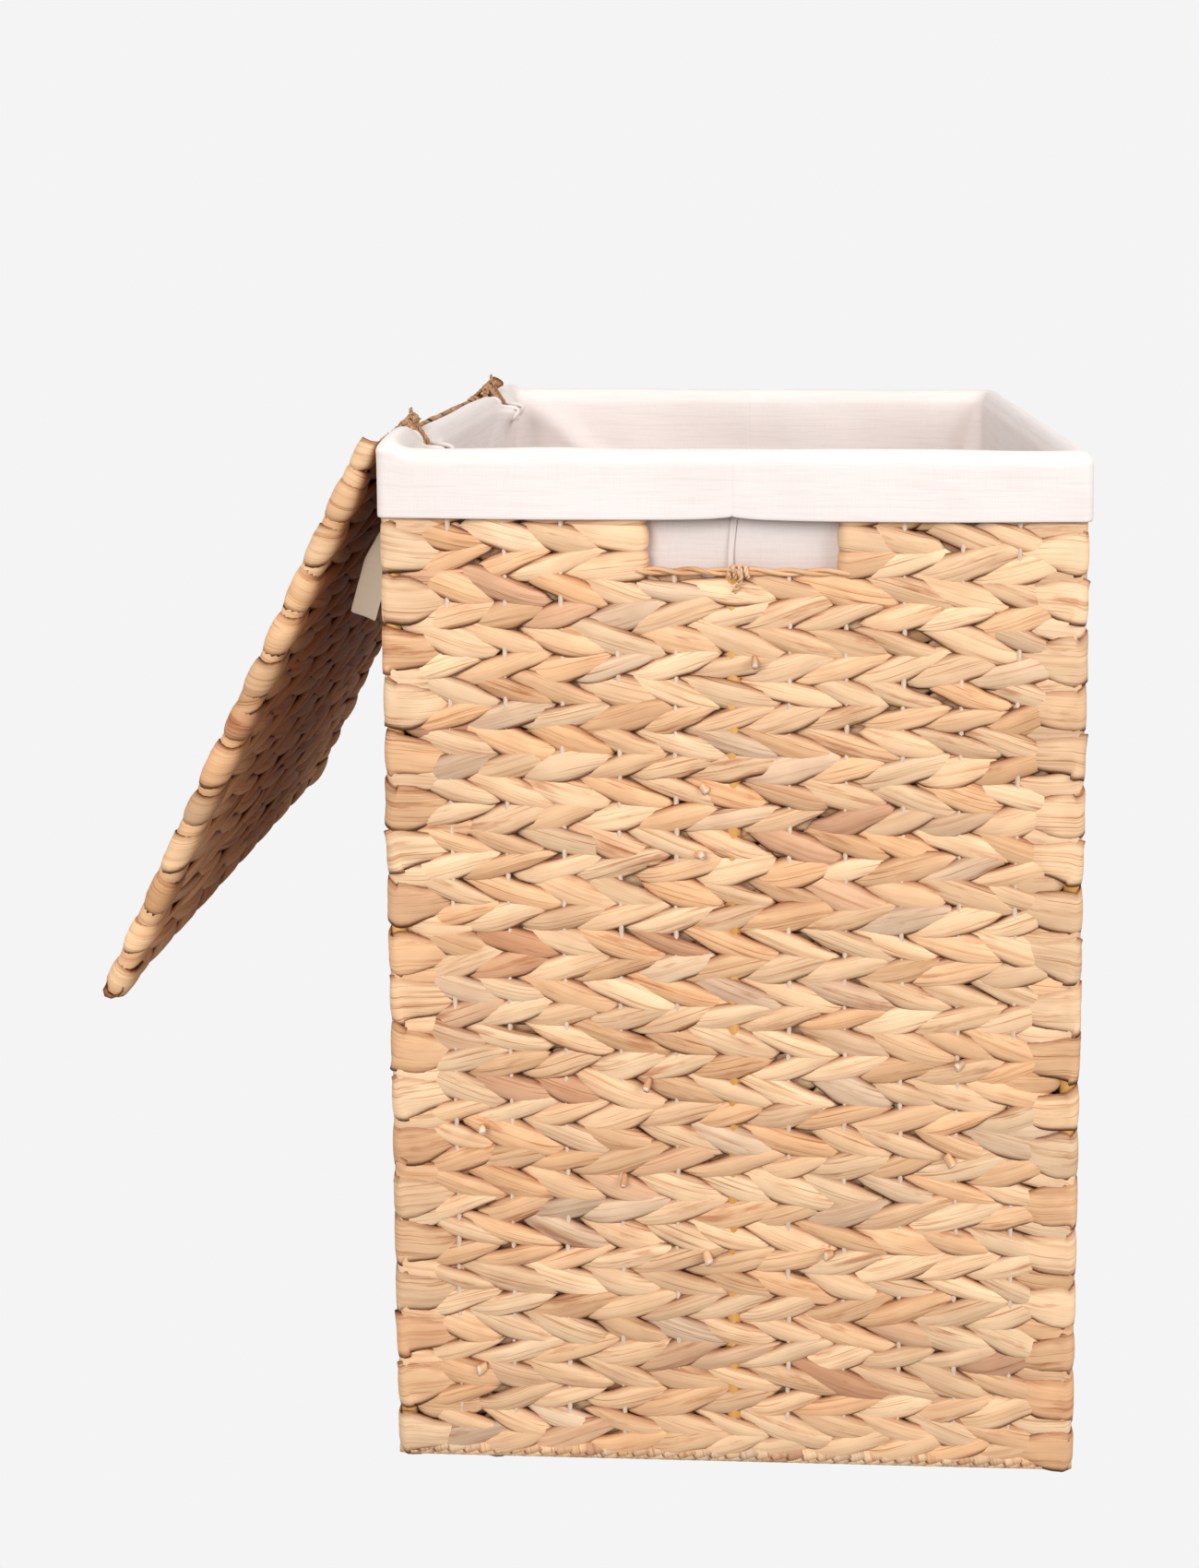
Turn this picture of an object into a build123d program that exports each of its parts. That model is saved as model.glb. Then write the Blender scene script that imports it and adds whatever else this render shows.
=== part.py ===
"""Woven laundry basket with a tied-on lid and a cotton liner.

The basket is woven on a frame of thin canes: four corner posts, a middle post in each long face,
rods round the rim and round the base. The lid hangs open from two twine ties at the basket's
left end. Millimetres, +Z up, X along the basket, the front face towards -Y. The origin is in the
middle of the base, at floor level.
"""
import os
from math import cos, radians, sin, tan

from build123d import *

# Driving dimensions of the basket
basket_length = 400.0
basket_depth = 300.0
rim_height = 604.5
weave_thickness = 12.0
cane_radius = 4.5
base_rod_radius = 5.0
warp_radius = 1.5
warps_long_face = 11
warps_short_face = 8
fit_gap = 0.15

# Handle holes in the two long faces
handle_width = 107.0
handle_offset = 6.0
sill_radius = 3.5
sill_height = 539.0

# Cotton liner
liner_thickness = 1.0
liner_gap = 0.2
cuff_hem_height = 567.0
slit_width = 20.0
label_width = 28.0
label_thickness = 0.6

# Lid, and how it sits when shut and when hanging open
lid_length = 366.0
lid_depth = 296.0
lid_thickness = 15.0
lid_open_angle = 244.0
lid_rest_gap = 0.5
open_rod_height = 602.3

# Twine ties between the rim and the lid
tie_offset = 96.0
twine = 2.0
knot_radius = 1.9
tie_loop_width = 8.0
tie_knot_length = 22.0

# Places that follow from the driving dimensions
half_length = basket_length / 2
half_depth = basket_depth / 2
post_inset = weave_thickness / 2
post_x = half_length - post_inset
post_y = half_depth - post_inset
rim_z = rim_height - cane_radius
weave_top = rim_z - cane_radius - twine - fit_gap
weave_bottom = 2 * base_rod_radius + fit_gap
sill_bottom = sill_height - sill_radius
mat_bottom = 6.5
mat_thickness = 7.0
inner_x = half_length - weave_thickness
inner_y = half_depth - weave_thickness
liner_x = inner_x - liner_gap
liner_y = inner_y - liner_gap
cuff_x = half_length + liner_gap
cuff_y = half_depth + liner_gap
liner_floor = mat_bottom + mat_thickness + liner_gap
liner_top = rim_height + 0.3 + liner_thickness
cane_channel = 2 * (cane_radius + fit_gap)
warp_channel = 2 * (warp_radius + fit_gap)
edge_radius = lid_thickness / 2

# The hanging lid: its end rod's centre when shut and when open, and the point it turns about
shut_rod = Vector(-lid_length / 2 + edge_radius, 0, liner_top + lid_rest_gap + edge_radius + 1.7)
open_rod = Vector(-(cuff_x + liner_thickness + lid_rest_gap + edge_radius), 0, open_rod_height)


def turning_point(shut, opened, angle):
    """The point in the XZ plane that a turn through angle about carries shut to opened."""
    step = opened - shut
    half_cot = 0.5 / tan(radians(angle) / 2)
    return shut + step * 0.5 + Vector(-step.Z, 0, step.X) * half_cot


hinge = turning_point(shut_rod, open_rod, lid_open_angle)
along_lid = Vector(cos(radians(lid_open_angle)), 0, sin(radians(lid_open_angle)))
lid_normal = Vector(-sin(radians(lid_open_angle)), 0, cos(radians(lid_open_angle)))
lid_plane = Plane(origin=open_rod - along_lid * edge_radius, x_dir=along_lid, z_dir=lid_normal)

long_warps = [i for i in range(1, warps_long_face + 1) if i != (warps_long_face + 1) // 2]
os.makedirs("parts", exist_ok=True)


def save(part, label):
    """Labels a finished piece and writes it as its own STEP file."""
    part.label = label
    export_step(part, f"parts/{label}.step")


def rod(start, end, radius):
    """A straight round rod between two points."""
    run = Vector(*end) - Vector(*start)
    with BuildPart() as piece:
        with BuildSketch(Plane(origin=start, z_dir=run)):
            Circle(radius)
        extrude(amount=run.length)
    return piece.part


def warp_x(index):
    """Place of a warp cord along the long face: the posts stand at either end of the row."""
    return -post_x + 2 * post_x * index / (warps_long_face + 1)


def warp_y(index):
    """Place of a warp cord along the short face."""
    return -post_y + 2 * post_y * index / (warps_short_face + 1)


def over_handle(x):
    """True where a warp of the long face is cut short by the handle hole."""
    return abs(x - handle_offset) < handle_width / 2


def long_panel(y):
    """Woven long face, corner to corner, with its handle hole and the channels of what it is woven on."""
    height = weave_top - weave_bottom
    with BuildPart() as panel:
        with BuildSketch(Plane.XY.offset(weave_bottom)):
            with Locations((0, y)):
                Rectangle(basket_length, weave_thickness)
            with Locations((-post_x, y), (post_x, y)):
                Rectangle(cane_channel, cane_channel, mode=Mode.SUBTRACT)
            with Locations((0, y)):
                Rectangle(cane_channel, cane_channel, mode=Mode.SUBTRACT)
            with Locations(*[(warp_x(i), y) for i in long_warps]):
                Rectangle(warp_channel, warp_channel, mode=Mode.SUBTRACT)
        extrude(amount=height)
        with BuildSketch(Plane.XY.offset(sill_bottom)):
            with Locations((handle_offset, y)):
                Rectangle(handle_width, 2 * weave_thickness)
        extrude(amount=weave_top - sill_bottom, mode=Mode.SUBTRACT)
    return panel.part


def short_panel(x):
    """Woven short face, between the two long ones."""
    with BuildPart() as panel:
        with BuildSketch(Plane.XY.offset(weave_bottom)):
            with Locations((x, 0)):
                Rectangle(weave_thickness, 2 * inner_y - 2 * fit_gap)
            with Locations(*[(x, warp_y(i)) for i in range(1, warps_short_face + 1)]):
                Rectangle(warp_channel, warp_channel, mode=Mode.SUBTRACT)
        extrude(amount=weave_top - weave_bottom)
    return panel.part


def long_warp_cords(y):
    """Warp cords of a long face; those under the handle hole end at its sill."""
    with BuildPart() as cords:
        for i in long_warps:
            top = sill_bottom - fit_gap if over_handle(warp_x(i)) else weave_top
            with BuildSketch(Plane.XY.offset(weave_bottom)):
                with Locations((warp_x(i), y)):
                    Circle(warp_radius)
            extrude(amount=top - weave_bottom)
    return cords.part


def short_warp_cords(x):
    """Warp cords of a short face."""
    with BuildPart() as cords:
        with BuildSketch(Plane.XY.offset(weave_bottom)):
            with Locations(*[(x, warp_y(i)) for i in range(1, warps_short_face + 1)]):
                Circle(warp_radius)
        extrude(amount=weave_top - weave_bottom)
    return cords.part


def liner_shell():
    """Walls, fold-over and cuff of the liner, still in one piece, slit where the ties go through."""
    with BuildPart() as shell:
        with BuildSketch(Plane.XY.offset(liner_floor)):
            Rectangle(2 * liner_x, 2 * liner_y)
            Rectangle(2 * (liner_x - liner_thickness), 2 * (liner_y - liner_thickness), mode=Mode.SUBTRACT)
        extrude(amount=liner_top - liner_floor)
        with BuildSketch(Plane.XY.offset(cuff_hem_height)):
            Rectangle(2 * (cuff_x + liner_thickness), 2 * (cuff_y + liner_thickness))
            Rectangle(2 * cuff_x, 2 * cuff_y, mode=Mode.SUBTRACT)
        extrude(amount=liner_top - cuff_hem_height)
        with BuildSketch(Plane.XY.offset(liner_top - liner_thickness)):
            Rectangle(2 * cuff_x, 2 * cuff_y)
            Rectangle(2 * (liner_x - liner_thickness), 2 * (liner_y - liner_thickness), mode=Mode.SUBTRACT)
        extrude(amount=liner_thickness)
        with BuildSketch(Plane.XY.offset(weave_top)):
            with Locations((-half_length, -tie_offset), (-half_length, tie_offset)):
                Rectangle(4 * weave_thickness, slit_width)
        extrude(amount=liner_top - weave_top, mode=Mode.SUBTRACT)
    return shell.part


def twine_loop(lower, lower_radius, y, width):
    """A twine loop round a rod at lower, drawn up to an eye at the hinge line, width wide along Y."""
    with BuildPart() as loop:
        with BuildSketch(Plane.XZ.offset(-(y + width / 2))):
            with Locations((lower.X, lower.Z)):
                Circle(lower_radius + fit_gap + twine)
            with Locations((hinge.X, hinge.Z)):
                Circle(knot_radius + twine)
            make_hull()
            with Locations((lower.X, lower.Z)):
                Circle(lower_radius + fit_gap, mode=Mode.SUBTRACT)
            with Locations((hinge.X, hinge.Z)):
                Circle(knot_radius + 0.08, mode=Mode.SUBTRACT)
        extrude(amount=width)
    return loop.part


# Canes of the basket's frame
for side_x, end_name in ((-post_x, "left"), (post_x, "right")):
    for side_y, face_name in ((-post_y, "front"), (post_y, "rear")):
        foot = (side_x, side_y, weave_bottom)
        head = (side_x, side_y, rim_z - cane_radius - fit_gap)
        save(rod(foot, head, cane_radius), f"corner_post_{face_name}_{end_name}")

for side_y, face_name in ((-post_y, "front"), (post_y, "rear")):
    middle_foot = (0, side_y, weave_bottom)
    middle_head = (0, side_y, sill_bottom - fit_gap)
    save(rod(middle_foot, middle_head, cane_radius), f"middle_post_{face_name}")

    rim_start = (-half_length + 1, side_y, rim_z)
    rim_end = (half_length - 1, side_y, rim_z)
    save(rod(rim_start, rim_end, cane_radius), f"rim_rod_{face_name}")

    base_start = (-half_length + 1, side_y, base_rod_radius)
    base_end = (half_length - 1, side_y, base_rod_radius)
    save(rod(base_start, base_end, base_rod_radius), f"base_rod_{face_name}")

    sill_start = (handle_offset - handle_width / 2 + fit_gap, side_y, sill_height)
    sill_end = (handle_offset + handle_width / 2 - fit_gap, side_y, sill_height)
    save(rod(sill_start, sill_end, sill_radius), f"handle_sill_{face_name}")

    save(long_panel(side_y), f"weave_{face_name}")
    save(long_warp_cords(side_y), f"warp_cords_{face_name}")

for side_x, end_name in ((-post_x, "left"), (post_x, "right")):
    rim_reach = post_y - cane_radius - fit_gap
    save(rod((side_x, -rim_reach, rim_z), (side_x, rim_reach, rim_z), cane_radius), f"rim_rod_{end_name}")

    base_reach = post_y - base_rod_radius - fit_gap
    base_start = (side_x, -base_reach, base_rod_radius)
    base_end = (side_x, base_reach, base_rod_radius)
    save(rod(base_start, base_end, base_rod_radius), f"base_rod_{end_name}")

    save(short_panel(side_x), f"weave_{end_name}")
    save(short_warp_cords(side_x), f"warp_cords_{end_name}")

# Base: three flat slats under a woven mat
slat_width = 26.0
slat_spacing = 130.0
slat_thickness = mat_bottom - fit_gap
with BuildPart() as base_slats:
    with BuildSketch():
        with Locations((-slat_spacing, 0), (0, 0), (slat_spacing, 0)):
            Rectangle(slat_width, 2 * (post_y - base_rod_radius - fit_gap))
    extrude(amount=slat_thickness)
save(base_slats.part, "base_slats")

with BuildPart() as base_mat:
    with BuildSketch(Plane.XY.offset(mat_bottom)):
        Rectangle(2 * inner_x - 2 * fit_gap, 2 * inner_y - 2 * fit_gap)
    extrude(amount=mat_thickness)
save(base_mat.part, "base_mat")

# Liner: two halves sewn down the middle of the long faces, and a floor panel
for keep, end_name in ((Keep.BOTTOM, "left"), (Keep.TOP, "right")):
    with BuildPart() as liner_half:
        add(liner_shell())
        split(bisect_by=Plane.YZ, keep=keep)
    save(liner_half.part, f"liner_half_{end_name}")

with BuildPart() as liner_floor_panel:
    floor_inset = liner_thickness + fit_gap
    with BuildSketch(Plane.XY.offset(liner_floor)):
        Rectangle(2 * (liner_x - floor_inset), 2 * (liner_y - floor_inset))
    extrude(amount=liner_thickness)
save(liner_floor_panel.part, "liner_floor")

# Blank cloth label, sewn under the cuff's hem at the left end and curling outwards
label_top = Vector(-(cuff_x + label_thickness), cuff_hem_height - fit_gap)
label_middle = label_top + Vector(-4, -34)
label_foot = label_top + Vector(-13, -66)
label_shift = Vector(label_thickness, 0)
label_near_y = -half_depth + 8
with BuildPart() as care_label:
    with BuildSketch(Plane.XZ.offset(-label_near_y - label_width)):
        with BuildLine():
            outer_face = ThreePointArc(label_top, label_middle, label_foot)
            inner_face = ThreePointArc(
                label_top + label_shift, label_middle + label_shift, label_foot + label_shift
            )
            Line(outer_face @ 0, inner_face @ 0)
            Line(outer_face @ 1, inner_face @ 1)
        make_face()
    extrude(amount=label_width)
save(care_label.part, "care_label")

# Ties: each has two loops round the rim, one round the lid's end rod, and the knot they turn on
rim_loop_width = 4.0
rim_loop_step = tie_loop_width / 2 + 0.4 + rim_loop_width / 2
rim_rod_centre = Vector(-post_x, 0, rim_z)
for side_y, face_name in ((-tie_offset, "front"), (tie_offset, "rear")):
    with BuildPart() as rim_loops:
        add(twine_loop(rim_rod_centre, cane_radius, side_y - rim_loop_step, rim_loop_width))
        add(twine_loop(rim_rod_centre, cane_radius, side_y + rim_loop_step, rim_loop_width))
    save(rim_loops.part, f"tie_rim_loops_{face_name}")

    knot_start = (hinge.X, side_y - tie_knot_length / 2, hinge.Z)
    knot_end = (hinge.X, side_y + tie_knot_length / 2, hinge.Z)
    save(rod(knot_start, knot_end, knot_radius), f"tie_knot_{face_name}")

    save(twine_loop(open_rod, cane_radius, side_y, tie_loop_width), f"tie_lid_loop_{face_name}")


# Lid, drawn in its own plane: local X from the ties to the free end, local Z out of its top face
def lid_rod(start, end):
    """A cane of the lid's frame, between two points of the lid's own plane."""
    first = lid_plane.from_local_coords(Vector(*start))
    last = lid_plane.from_local_coords(Vector(*end))
    return rod(tuple(first), tuple(last), cane_radius)


side_rod_y = lid_depth / 2 - edge_radius
end_rod_y = side_rod_y - cane_radius - fit_gap
free_rod_x = lid_length - edge_radius
save(lid_rod((edge_radius, -end_rod_y, 0), (edge_radius, end_rod_y, 0)), "lid_rod_hinge_end")
save(lid_rod((free_rod_x, -end_rod_y, 0), (free_rod_x, end_rod_y, 0)), "lid_rod_free_end")
save(lid_rod((1, -side_rod_y, 0), (lid_length - 1, -side_rod_y, 0)), "lid_rod_front")
save(lid_rod((1, side_rod_y, 0), (lid_length - 1, side_rod_y, 0)), "lid_rod_rear")

lid_warp_start = edge_radius + cane_radius + fit_gap
lid_warp_end = free_rod_x - cane_radius - fit_gap
lid_warp_places = [
    -side_rod_y + 2 * side_rod_y * i / (warps_short_face + 1) for i in range(1, warps_short_face + 1)
]
with BuildPart() as lid_warp_cords:
    for warp_place in lid_warp_places:
        warp_foot = lid_plane.from_local_coords(Vector(lid_warp_start, warp_place, 0))
        with BuildSketch(Plane(origin=warp_foot, z_dir=along_lid)):
            Circle(warp_radius)
        extrude(amount=lid_warp_end - lid_warp_start)
save(lid_warp_cords.part, "lid_warp_cords")

notch_length = edge_radius + cane_radius + twine + 1.5
lid_middle = lid_plane.from_local_coords(Vector(lid_length / 2, 0, 0))
with BuildPart() as lid_weave:
    with BuildSketch(Plane(origin=lid_middle, x_dir=along_lid, z_dir=(0, 1, 0))):
        SlotOverall(lid_length, lid_thickness)
    extrude(amount=lid_depth / 2, both=True)
    side_faces = lid_weave.faces().sort_by(Axis.Y)
    fillet(side_faces[0].edges() + side_faces[-1].edges(), edge_radius - 1.5)
    with BuildSketch(lid_plane.offset(-lid_thickness / 2)):
        with Locations((notch_length / 2, -tie_offset), (notch_length / 2, tie_offset)):
            Rectangle(notch_length, slit_width)
    extrude(amount=lid_thickness, mode=Mode.SUBTRACT)
    with BuildSketch(lid_plane.offset(-cane_channel / 2)):
        with Locations((lid_length / 2, -side_rod_y), (lid_length / 2, side_rod_y)):
            Rectangle(lid_length, cane_channel)
        with Locations((edge_radius, 0), (free_rod_x, 0)):
            Rectangle(cane_channel, 2 * side_rod_y)
    extrude(amount=cane_channel, mode=Mode.SUBTRACT)
    with BuildSketch(lid_plane.offset(-warp_channel / 2)):
        with Locations(*[(lid_length / 2, place) for place in lid_warp_places]):
            Rectangle(lid_length - 2 * edge_radius, warp_channel)
    extrude(amount=warp_channel, mode=Mode.SUBTRACT)
save(lid_weave.part, "lid_weave")

print("hinge", tuple(round(v, 3) for v in hinge), "open rod", tuple(round(v, 3) for v in open_rod))
print("shut rod", tuple(round(v, 3) for v in shut_rod), "liner top", liner_top, "weave top", weave_top)
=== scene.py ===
"""Looks of the woven laundry basket: camera, light, woven strands, twine, cotton liner and materials."""
import math
import random

import bmesh
import bpy
import numpy as np
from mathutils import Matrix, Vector, noise


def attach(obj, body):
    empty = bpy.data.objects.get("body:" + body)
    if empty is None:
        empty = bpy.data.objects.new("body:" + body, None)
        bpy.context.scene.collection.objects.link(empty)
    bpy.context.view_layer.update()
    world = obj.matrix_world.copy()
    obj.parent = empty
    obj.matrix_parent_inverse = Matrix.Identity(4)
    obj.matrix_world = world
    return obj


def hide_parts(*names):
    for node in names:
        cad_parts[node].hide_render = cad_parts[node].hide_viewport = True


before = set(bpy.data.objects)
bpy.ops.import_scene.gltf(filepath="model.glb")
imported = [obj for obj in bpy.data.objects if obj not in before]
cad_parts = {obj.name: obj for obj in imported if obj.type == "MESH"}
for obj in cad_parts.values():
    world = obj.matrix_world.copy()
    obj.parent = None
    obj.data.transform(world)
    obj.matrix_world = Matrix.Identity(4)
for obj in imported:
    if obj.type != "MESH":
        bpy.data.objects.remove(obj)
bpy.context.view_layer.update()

MM = 0.001

X_AXIS = np.array((1.0, 0, 0))
Y_AXIS = np.array((0, 1.0, 0))
Z_AXIS = np.array((0, 0, 1.0))

# Places of the basket's frame, in metres, as the CAD has them
POST_X, POST_Y = 194 * MM, 144 * MM
RIM_Z = 600 * MM
WEAVE_TOP = 593.35 * MM
HOLE_LOW_X, HOLE_HIGH_X = -47.5 * MM, 59.5 * MM
SILL_Z = 539 * MM
BASE_ROD = 5 * MM
TIE_Y = 96 * MM
HINGE_X, HINGE_Z = -196.474 * MM, 619.429 * MM
LONG_STEP = 2 * POST_X / 12
LONG_WARPS = [-POST_X + LONG_STEP * i for i in range(1, 12)]
SHORT_STEP = 2 * POST_Y / 9
SHORT_WARPS = [-POST_Y + SHORT_STEP * i for i in range(1, 9)]
CORD_BOTTOM, CORD_UNDER_HOLE, CORD_TOP = 10.2 * MM, 535 * MM, 593 * MM

# Each woven face: name, way out, way along it, distance out to its posts' middle, half its width
FACES = (("front", -Y_AXIS, X_AXIS, POST_Y, POST_X), ("rear", Y_AXIS, X_AXIS, POST_Y, POST_X),
         ("left", -X_AXIS, Y_AXIS, POST_X, POST_Y), ("right", X_AXIS, Y_AXIS, POST_X, POST_Y))

# The weave's rows, counted down from the rim; the hand hole cuts the first HOLE_ROWS of them
ROWS = 40
HOLE_ROWS = 4
ROW_PITCH = 14.8 * MM
LOWEST_ROW = 12.5 * MM
SLANT = math.radians(15)

# Places of the hanging lid
LID_ORIGIN = np.array((-205.9, 0, 609.04)) * MM
LID_ALONG = np.array((-0.43837, 0, -0.89879))
LID_OUT = np.array((0.89879, 0, -0.43837))
LID_LENGTH = 366 * MM
LID_EDGE_Y = 140.5 * MM
LID_STEP = 2 * LID_EDGE_Y / 9
LID_WARPS = [-LID_EDGE_Y + LID_STEP * j for j in range(1, 9)]
LID_ROWS = 23
LID_WRAPS = 25

# The liner: its hem, the lap of its seams, the width of the slits for the ties, the stations of its section
# (the slits cut some of them), and the x past which it is at the left end
HEM_Z = 567 * MM
SEAM_LAP = 0.8 * MM
NOTCH = 16 * MM
CUFF_STATIONS = 11
FOLD_STATIONS = 13
LAST_FOLD = CUFF_STATIONS + FOLD_STATIONS - 1
SLIT_START, SLIT_END = CUFF_STATIONS - 1, LAST_FOLD + 3
LEFT_END = -0.17

# Camera: place, pitch below level, turn to the left, lens and shift
CAMERA_PLACE = (0.0312, -0.7971, 0.7164)
CAMERA_PITCH, CAMERA_TURN = 3.72, 1.41
CAMERA_LENS = 35.17
CAMERA_SHIFT = (-0.1331, -0.3792)

# Strength of the world's light from below and from above, and its grey backdrop
LIGHT_BELOW, LIGHT_ABOVE = 0.31, 0.80
BACKDROP = (0.905, 0.905, 0.905, 1)

# Reach of the ambient occlusion that paints shade into the lid's colour, where the open lid hangs close to
# the basket's wall
SHADE_REACH = 0.35
WHITE = (1, 1, 1, 1)


# ---- camera and light

def make_camera():
    """A view of the front face from a little above the rim, with the picture shifted down."""
    data = bpy.data.cameras.new("camera")
    data.sensor_fit = "HORIZONTAL"
    data.sensor_width = 36
    data.lens = CAMERA_LENS
    data.shift_x, data.shift_y = CAMERA_SHIFT
    data.clip_start = 0.01
    camera = bpy.data.objects.new("camera", data)
    camera.location = CAMERA_PLACE
    camera.rotation_euler = (math.radians(90 - CAMERA_PITCH), 0, math.radians(CAMERA_TURN))
    bpy.context.scene.collection.objects.link(camera)
    bpy.context.scene.camera = camera


def make_area(name, place, target, size, power):
    """A soft square lamp aimed at a point."""
    data = bpy.data.lights.new(name, "AREA")
    data.size = size
    data.energy = power
    lamp = bpy.data.objects.new(name, data)
    lamp.location = place
    lamp.rotation_euler = (Vector(target) - Vector(place)).to_track_quat("-Z", "Y").to_euler()
    bpy.context.scene.collection.objects.link(lamp)


def make_world():
    """An even pale backdrop for the camera, and light that is stronger from above than from below."""
    world = bpy.data.worlds.new("studio")
    world.use_nodes = True
    tree = world.node_tree
    backdrop = tree.nodes["Background"]
    backdrop.inputs["Color"].default_value = BACKDROP
    sky = add(tree, "ShaderNodeBackground")
    height = add(tree, "ShaderNodeSeparateXYZ")
    tree.links.new(add(tree, "ShaderNodeTexCoord").outputs["Generated"], height.inputs["Vector"])
    upward = add(tree, "ShaderNodeMapRange", **{"From Min": -0.6, "From Max": 0.5,
                                                "To Min": LIGHT_BELOW, "To Max": LIGHT_ABOVE})
    tree.links.new(height.outputs["Z"], upward.inputs["Value"])
    tree.links.new(upward.outputs["Result"], sky.inputs["Strength"])
    seen = add(tree, "ShaderNodeMixShader")
    tree.links.new(add(tree, "ShaderNodeLightPath").outputs["Is Camera Ray"], seen.inputs[0])
    tree.links.new(sky.outputs[0], seen.inputs[1])
    tree.links.new(backdrop.outputs[0], seen.inputs[2])
    tree.links.new(seen.outputs[0], tree.nodes["World Output"].inputs["Surface"])
    bpy.context.scene.world = world
    bpy.context.scene.view_settings.view_transform = "Standard"


# ---- materials

def new_material(name, roughness, specular):
    """A node material, with its tree and its shader."""
    material = bpy.data.materials.new(name)
    material.use_nodes = True
    tree = material.node_tree
    shader = tree.nodes["Principled BSDF"]
    shader.inputs["Roughness"].default_value = roughness
    shader.inputs["Specular IOR Level"].default_value = specular
    return material, tree, shader


def add(tree, kind, **settings):
    """A node of that kind with some of its properties or inputs set."""
    node = tree.nodes.new(kind)
    for key, value in settings.items():
        if key in node.inputs:
            node.inputs[key].default_value = value
        else:
            setattr(node, key, value)
    return node


def srgb(r, g, b):
    """A linear colour from display values of 0 to 255."""
    def linear(c):
        c /= 255
        return c / 12.92 if c <= 0.04045 else ((c + 0.055) / 1.055) ** 2.4
    return (linear(r), linear(g), linear(b), 1.0)


def noise_of(tree, source, stretch, detail, roughness):
    """A noise pattern's strength, over coordinates multiplied by stretch."""
    mapping = add(tree, "ShaderNodeMapping", Scale=stretch)
    tree.links.new(source, mapping.inputs["Vector"])
    node = add(tree, "ShaderNodeTexNoise", Scale=1.0, Detail=detail, Roughness=roughness)
    tree.links.new(mapping.outputs["Vector"], node.inputs["Vector"])
    return node.outputs["Fac"]


def ramp(tree, factor, stops):
    """A colour ramp: stops are (place, colour)."""
    node = add(tree, "ShaderNodeValToRGB")
    elements = node.color_ramp.elements
    while len(elements) < len(stops):
        elements.new(0.5)
    for element, (place, colour) in zip(elements, stops):
        element.position = place
        element.color = colour
    tree.links.new(factor, node.inputs["Fac"])
    return node.outputs["Color"]


def mix(tree, factor, a, b, blend="MIX"):
    """Two colours mixed; factor, a and b are numbers, colours or sockets."""
    node = add(tree, "ShaderNodeMix", data_type="RGBA", blend_type=blend)
    for socket, value in ((node.inputs[0], factor), (node.inputs[6], a), (node.inputs[7], b)):
        if hasattr(value, "is_output"):
            tree.links.new(value, socket)
        else:
            socket.default_value = value
    return node.outputs[2]


def multiplied(tree, colour, *layers):
    """A colour multiplied by layers, each given as its factor and its colour."""
    for factor, layer in layers:
        colour = mix(tree, factor, colour, layer, "MULTIPLY")
    return colour


def bump(tree, shader, height, strength, distance, before=None):
    """Adds relief to a shader, on top of the relief before it."""
    node = add(tree, "ShaderNodeBump", Strength=strength, Distance=distance)
    tree.links.new(height, node.inputs["Height"])
    if before:
        tree.links.new(before, node.inputs["Normal"])
    tree.links.new(node.outputs["Normal"], shader.inputs["Normal"])
    return node.outputs["Normal"]


def attribute(tree, name, output):
    """A value that the mesh holds."""
    return add(tree, "ShaderNodeAttribute", attribute_name=name).outputs[output]


def strand_material(name, roughness=0.6, painted_shade=None):
    """Flattened plant strand: its own tone, fine lengthwise fibres, stains, a dull sheen, and edges darkened
    brown, partly their own brown edge and partly painted shade where one strand meets the next.

    The last argument, if given, is painted shade: a tint on the colour wherever an ambient occlusion node
    finds another surface close in front, as the open lid has the basket.
    """
    material, tree, shader = new_material(name, roughness, 0.3)
    place = attribute(tree, "own_place", "Vector")
    tone = attribute(tree, "strand_tone", "Color")
    edge = attribute(tree, "strand_edge", "Fac")
    fibre = noise_of(tree, place, (14, 900, 1), 3, 0.65)
    ridge = noise_of(tree, place, (9, 330, 1), 3, 0.55)
    stain = noise_of(tree, place, (22, 150, 1), 4, 0.6)
    patch = noise_of(tree, place, (40, 60, 1), 2, 0.5)
    lines = ramp(tree, fibre, [(0.33, (0.62, 0.44, 0.32, 1)), (0.43, WHITE)])
    broad = ramp(tree, ridge, [(0.28, (0.80, 0.68, 0.58, 1)), (0.50, (1.03, 1.02, 1.01, 1))])
    spots = ramp(tree, stain, [(0.59, WHITE), (0.71, (0.60, 0.36, 0.26, 1))])
    worn = ramp(tree, patch, [(0.35, (0.92, 0.88, 0.86, 1)), (0.65, (1.04, 1.03, 1.02, 1))])
    # darker brown edges: partly the strand's own brown edge, partly painted shade in the gaps between strands
    rim = ramp(tree, edge, [(0.64, WHITE), (1.0, (0.34, 0.16, 0.08, 1))])
    colour = multiplied(tree, tone, (0.95, lines), (0.85, broad), (0.75, spots), (1.0, worn), (0.85, rim))
    # painted shade: the colour is darkened wherever ambient occlusion finds another surface near, as the
    # basket's wall by the open lid
    if painted_shade:
        openness = add(tree, "ShaderNodeAmbientOcclusion", samples=8, Distance=SHADE_REACH)
        shade = ramp(tree, openness.outputs["AO"], [(0.36, painted_shade), (0.80, WHITE)])
        colour = multiplied(tree, colour, (1.0, shade))
    tree.links.new(colour, shader.inputs["Base Color"])
    first = bump(tree, shader, ridge, 0.35, 0.0007)
    bump(tree, shader, fibre, 0.4, 0.0003, first)
    return material


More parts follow.
